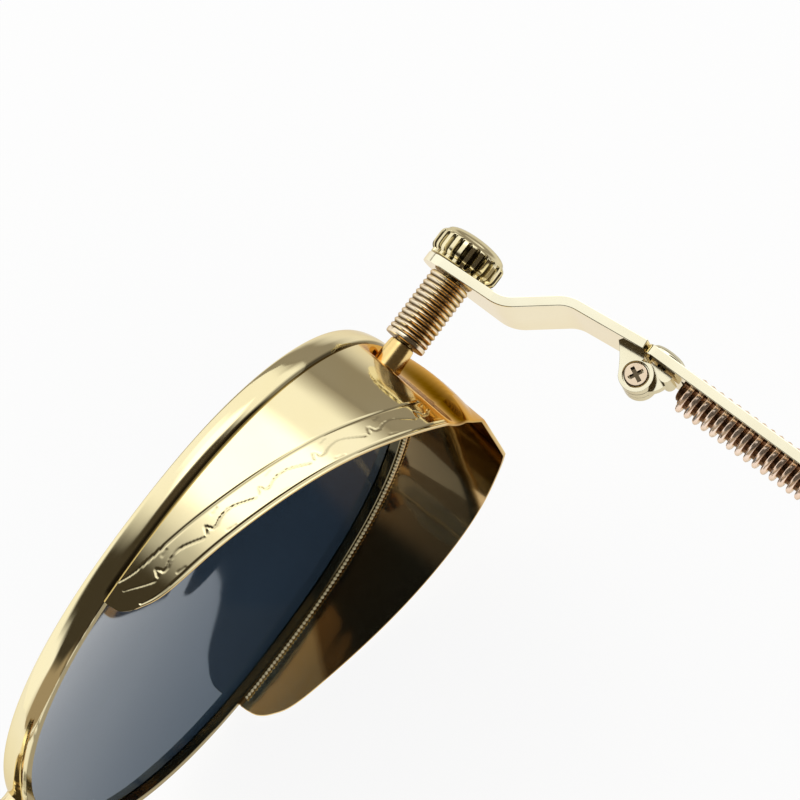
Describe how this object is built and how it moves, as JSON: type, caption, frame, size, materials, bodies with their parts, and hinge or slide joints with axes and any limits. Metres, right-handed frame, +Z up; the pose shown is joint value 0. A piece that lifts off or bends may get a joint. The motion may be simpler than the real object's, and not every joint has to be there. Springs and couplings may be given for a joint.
{
  "type": "steampunk sunglasses",
  "caption": "Round metal sunglasses with curved side shields, thumbscrew posts, cranked arm plates, and hinged temples with a coil spring in a window.",
  "frame": {"origin": "middle of the bounding box's bottom face, on the ground between the temples", "axes": "+Z up; the lenses face -Y and the temples run back to +Y; +X is the wearer's left"},
  "size_m": [0.1456, 0.1472, 0.0504],
  "materials": {
    "gold": "pale polished gold plate",
    "rose_gold": "polished rose gold plate",
    "tinted_glass": "dark blue-grey tint, polished",
    "tip_plastic": "polished dark brown",
    "pad_silicone": "clear silicone, satin"
  },
  "bodies": {
    "front": {"rim_left": "gold", "rim_right": "gold", "rim_screw_left": "gold", "rim_screw_right": "gold", "lens_left": "tinted_glass", "lens_right": "tinted_glass", "side_shield_left": "gold", "side_shield_right": "gold", "post_lug_left": "gold", "post_lug_right": "gold", "post_sleeve_left": "rose_gold", "post_sleeve_right": "rose_gold", "arm_plate_left": "gold", "arm_plate_right": "gold", "hinge_leaf_front_left": "gold", "hinge_leaf_front_right": "gold", "hinge_screw_left": "rose_gold", "hinge_screw_right": "rose_gold", "pad_arm_left": "gold", "pad_arm_right": "gold", "pad_screw_left": "gold", "pad_screw_right": "gold", "bridge": "gold"},
    "temple_left": {"hinge_leaf_rear_left": "gold", "temple_rivet_left": "gold", "temple_bar_left": "gold", "spring_rod_left": "rose_gold", "coil_spring_left": "rose_gold", "temple_tip_left": "tip_plastic"},
    "temple_right": {"hinge_leaf_rear_right": "gold", "temple_rivet_right": "gold", "temple_bar_right": "gold", "spring_rod_right": "rose_gold", "coil_spring_right": "rose_gold", "temple_tip_right": "tip_plastic"},
    "thumbscrew_left": {"thumbscrew_left": "gold"},
    "thumbscrew_right": {"thumbscrew_right": "gold"},
    "nose_pad_left": {"nose_pad_left": "pad_silicone"},
    "nose_pad_right": {"nose_pad_right": "pad_silicone"}
  },
  "joints": [
    {"name": "temple_fold_left", "type": "hinge", "parent": "front", "child": "temple_left", "pos_m": [0.0694, -0.04706, 0.0328], "axis": [0, 0, 1], "range_deg": [0, 86]},
    {"name": "temple_fold_right", "type": "hinge", "parent": "front", "child": "temple_right", "pos_m": [-0.0694, -0.04706, 0.0328], "axis": [0, 0, -1], "range_deg": [0, 83]},
    {"name": "thumbscrew_turn_left", "type": "hinge", "parent": "front", "child": "thumbscrew_left", "pos_m": [0.0615, -0.06553, 0.0328], "axis": [0.9984, 0.0558, 0], "continuous": true},
    {"name": "thumbscrew_turn_right", "type": "hinge", "parent": "front", "child": "thumbscrew_right", "pos_m": [-0.0615, -0.06553, 0.0328], "axis": [-0.9984, 0.0558, 0], "continuous": true},
    {"name": "nose_pad_rock_left", "type": "hinge", "parent": "front", "child": "nose_pad_left", "pos_m": [0.009, -0.06205, 0.0196], "axis": [0, 0, 1], "range_deg": [-10, 10]},
    {"name": "nose_pad_rock_right", "type": "hinge", "parent": "front", "child": "nose_pad_right", "pos_m": [-0.009, -0.06205, 0.0196], "axis": [0, 0, -1], "range_deg": [-10, 10]}
  ]
}
